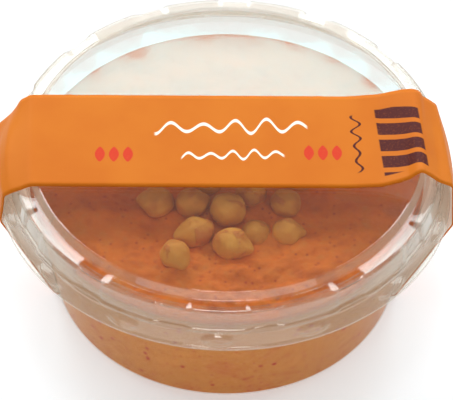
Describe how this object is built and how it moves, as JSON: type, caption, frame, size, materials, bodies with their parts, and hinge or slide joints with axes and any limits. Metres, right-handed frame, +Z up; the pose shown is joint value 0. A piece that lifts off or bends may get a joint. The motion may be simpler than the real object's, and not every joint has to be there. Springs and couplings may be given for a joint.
{
  "type": "tub of hummus with chickpeas, lid and card sleeve",
  "caption": "Shut round tub of paprika hummus topped with chickpeas, under a clear snap lid, held by a printed card sleeve.",
  "frame": {"origin": "middle of the pack's footprint, on the surface that it stands on", "axes": "+Z up, +X along the sleeve towards the end where its card is slack, -Y the front"},
  "size_m": [0.1196, 0.119, 0.0557],
  "materials": {
    "tub_plastic": "clear, glossy moulded plastic",
    "lid_plastic": "clear, glossy formed sheet",
    "hummus": "soft, slightly oily paprika hummus with fine red flecks",
    "chickpea": "cooked chickpea, matt with a moist sheen",
    "sleeve_card": "orange printed card, white on the inside"
  },
  "bodies": {
    "root": {"tub": "tub_plastic", "hummus": "hummus", "chickpea_01": "chickpea", "chickpea_02": "chickpea", "chickpea_03": "chickpea", "chickpea_04": "chickpea", "chickpea_05": "chickpea", "chickpea_06": "chickpea", "chickpea_07": "chickpea", "chickpea_08": "chickpea", "chickpea_09": "chickpea", "chickpea_10": "chickpea", "chickpea_11": "chickpea", "chickpea_12": "chickpea", "chickpea_13": "chickpea", "chickpea_14": "chickpea", "chickpea_15": "chickpea", "chickpea_16": "chickpea", "chickpea_17": "chickpea", "chickpea_18": "chickpea", "chickpea_19": "chickpea", "lid": "lid_plastic", "sleeve": "sleeve_card"}
  },
  "joints": []
}
